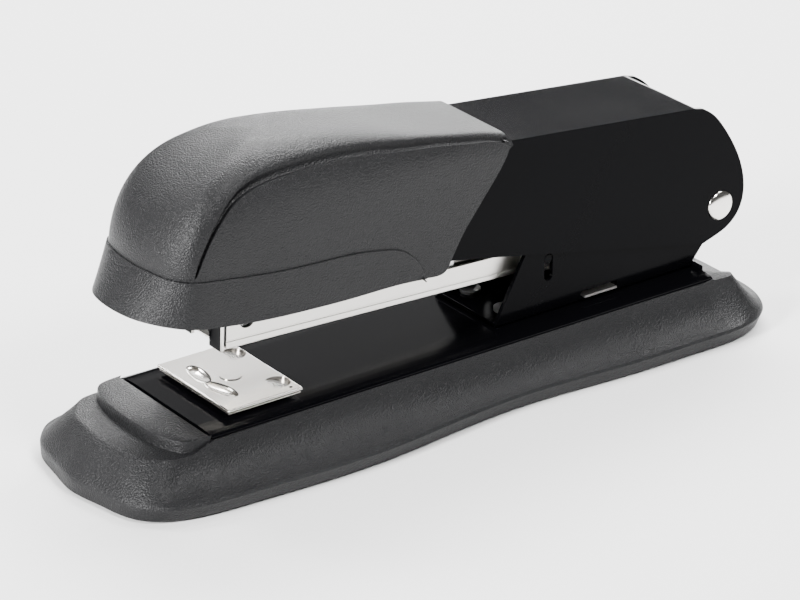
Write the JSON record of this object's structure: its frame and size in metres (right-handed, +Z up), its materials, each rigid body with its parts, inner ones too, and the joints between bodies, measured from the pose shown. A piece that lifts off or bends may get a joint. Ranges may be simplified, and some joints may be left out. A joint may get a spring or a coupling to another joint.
{
  "type": "stapler",
  "caption": "Desktop stapler: moulded shoe with steel plate and turning anvil, spring-lifted magazine, capped arm that presses down and swings open for loading.",
  "frame": {"origin": "centre of the shoe's footprint, on the surface that the stapler stands on", "axes": "+X from the stapling nose to the hinge end, +Y across, +Z up"},
  "size_m": [0.1716, 0.0554, 0.0684],
  "materials": {
    "shoe_plastic": "fine spark-eroded grain, black",
    "cap_plastic": "fine spark-eroded grain, black, softer gloss on top",
    "foot_rubber": "matt black",
    "black_lacquer": "glossy black stove enamel",
    "bright_nickel": "bright nickel plate",
    "magazine_zinc": "bright zinc plate with a soft sheen",
    "zinc_steel": "zinc-plated steel",
    "spring_steel": "tempered spring steel",
    "staple_wire": "galvanised wire, ribbed"
  },
  "bodies": {
    "base": {"base_shoe": "shoe_plastic", "anti_slip_feet": "foot_rubber", "base_plate": "black_lacquer", "base_screws": "zinc_steel", "hinge_bracket": "black_lacquer", "bracket_rivets": "zinc_steel", "magazine_lift_spring": "spring_steel", "hinge_pin": "bright_nickel", "hinge_spacers": "zinc_steel", "anvil_spring": "spring_steel"},
    "anvil_post": {"anvil_post": "bright_nickel", "anvil_button": "zinc_steel"},
    "anvil": {"anvil_plate": "bright_nickel"},
    "magazine": {"magazine_channel": "magazine_zinc", "nose_plate": "black_lacquer", "nose_rivets": "zinc_steel", "staple_track": "magazine_zinc", "staple_strip": "staple_wire", "pusher_rod": "zinc_steel", "rod_anchors": "zinc_steel", "stop_pin": "black_lacquer", "pusher_spring": "spring_steel"},
    "pusher": {"pusher": "zinc_steel"},
    "press_spring": {"press_spring": "spring_steel"},
    "arm": {"arm_channel": "black_lacquer", "cap_shell": "cap_plastic", "cap_screws": "zinc_steel", "spring_seat": "zinc_steel", "driver_holder": "zinc_steel", "driver_blade": "spring_steel", "driver_rivets": "zinc_steel"}
  },
  "joints": [
    {"name": "magazine_swing", "type": "hinge", "parent": "base", "child": "magazine", "pos_m": [0.0744, 0, 0.0269], "axis": [0, 1, 0], "range_deg": [-4.5, 0], "stiffness_Nm_per_rad": 4, "springref_deg": 4.58, "deforming": ["magazine_lift_spring"]},
    {"name": "arm_press", "type": "hinge", "parent": "magazine", "child": "press_spring", "pos_m": [0.0744, 0, 0.0269], "axis": [0, 1, 0], "range_deg": [-3.26, 0], "stiffness_Nm_per_rad": 12, "springref_deg": 1.72},
    {"name": "arm_open", "type": "hinge", "parent": "press_spring", "child": "arm", "pos_m": [0.0744, 0, 0.0269], "axis": [0, 1, 0], "range_deg": [0, 85]},
    {"name": "pusher_slide", "type": "slide", "parent": "magazine", "child": "pusher", "axis": [0.9992, 0, -0.0393], "range_m": [0, 0.0455], "deforming": ["pusher_spring"]},
    {"name": "anvil_lift", "type": "slide", "parent": "base", "child": "anvil_post", "axis": [0, 0, 1], "range_m": [0, 0.0015], "stiffness_N_per_m": 1500, "springref_m": -0.002, "deforming": ["anvil_spring"]},
    {"name": "anvil_turn", "type": "hinge", "parent": "anvil_post", "child": "anvil", "pos_m": [-0.0459, 0, 0.0154], "axis": [0, 0, 1], "range_deg": [0, 180]}
  ],
  "couplings": [
    {"joint": "pusher_slide", "follows": "arm_open", "m_per_rad": 0.0303}
  ]
}
